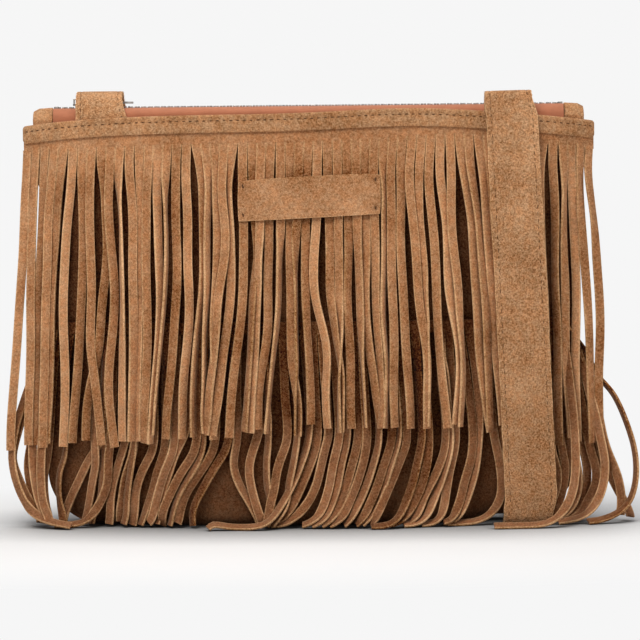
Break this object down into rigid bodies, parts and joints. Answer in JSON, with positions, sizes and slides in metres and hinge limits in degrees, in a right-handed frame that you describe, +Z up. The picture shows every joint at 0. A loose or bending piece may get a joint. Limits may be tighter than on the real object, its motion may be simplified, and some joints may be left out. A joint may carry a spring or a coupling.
{
  "type": "fringed suede bag",
  "caption": "Flat suede shoulder bag with two tiers of cut fringe on its front, a zip along its top, a wide strap and a bare label patch.",
  "frame": {"origin": "middle of the flat base, on the surface that the bag stands on", "axes": "+X to the right of someone who faces the fringed front, +Y from that front to the back, +Z up"},
  "size_m": [0.3205, 0.1081, 0.221],
  "materials": {
    "suede_tan": "tan suede with a short nap",
    "suede_shaded": "the same suede, darker under the fringe",
    "suede_pale": "tan suede, brushed paler",
    "zip_tape": "woven terracotta zip tape",
    "zip_metal": "dark zip metal",
    "lining_cloth": "plain dark lining cloth"
  },
  "bodies": {
    "bag": {"front_panel": "suede_shaded", "back_panel": "suede_tan", "lining": "lining_cloth", "upper_fringe": "suede_tan", "lower_fringe": "suede_shaded", "front_band": "suede_tan", "back_band": "suede_tan", "zip_tape_front": "zip_tape", "zip_tape_back": "zip_tape", "zip_teeth_front": "zip_metal", "zip_teeth_back": "zip_metal", "zip_top_stop_front": "zip_metal", "zip_top_stop_back": "zip_metal", "zip_bottom_stop": "zip_metal", "zip_end_tab_left": "suede_pale", "zip_end_tab_right": "suede_pale", "strap": "suede_tan", "label_patch": "suede_pale"},
    "slider": {"zip_slider": "zip_metal"},
    "puller": {"zip_puller": "zip_metal"}
  },
  "joints": [
    {"name": "zip_slide", "type": "slide", "parent": "bag", "child": "slider", "axis": [1, 0, 0], "range_m": [0, 0.233]},
    {"name": "puller_hinge", "type": "hinge", "parent": "slider", "child": "puller", "pos_m": [-0.1173, 0, 0.21575], "axis": [0, -1, 0], "range_deg": [0, 165], "deforming": ["strap"]}
  ]
}
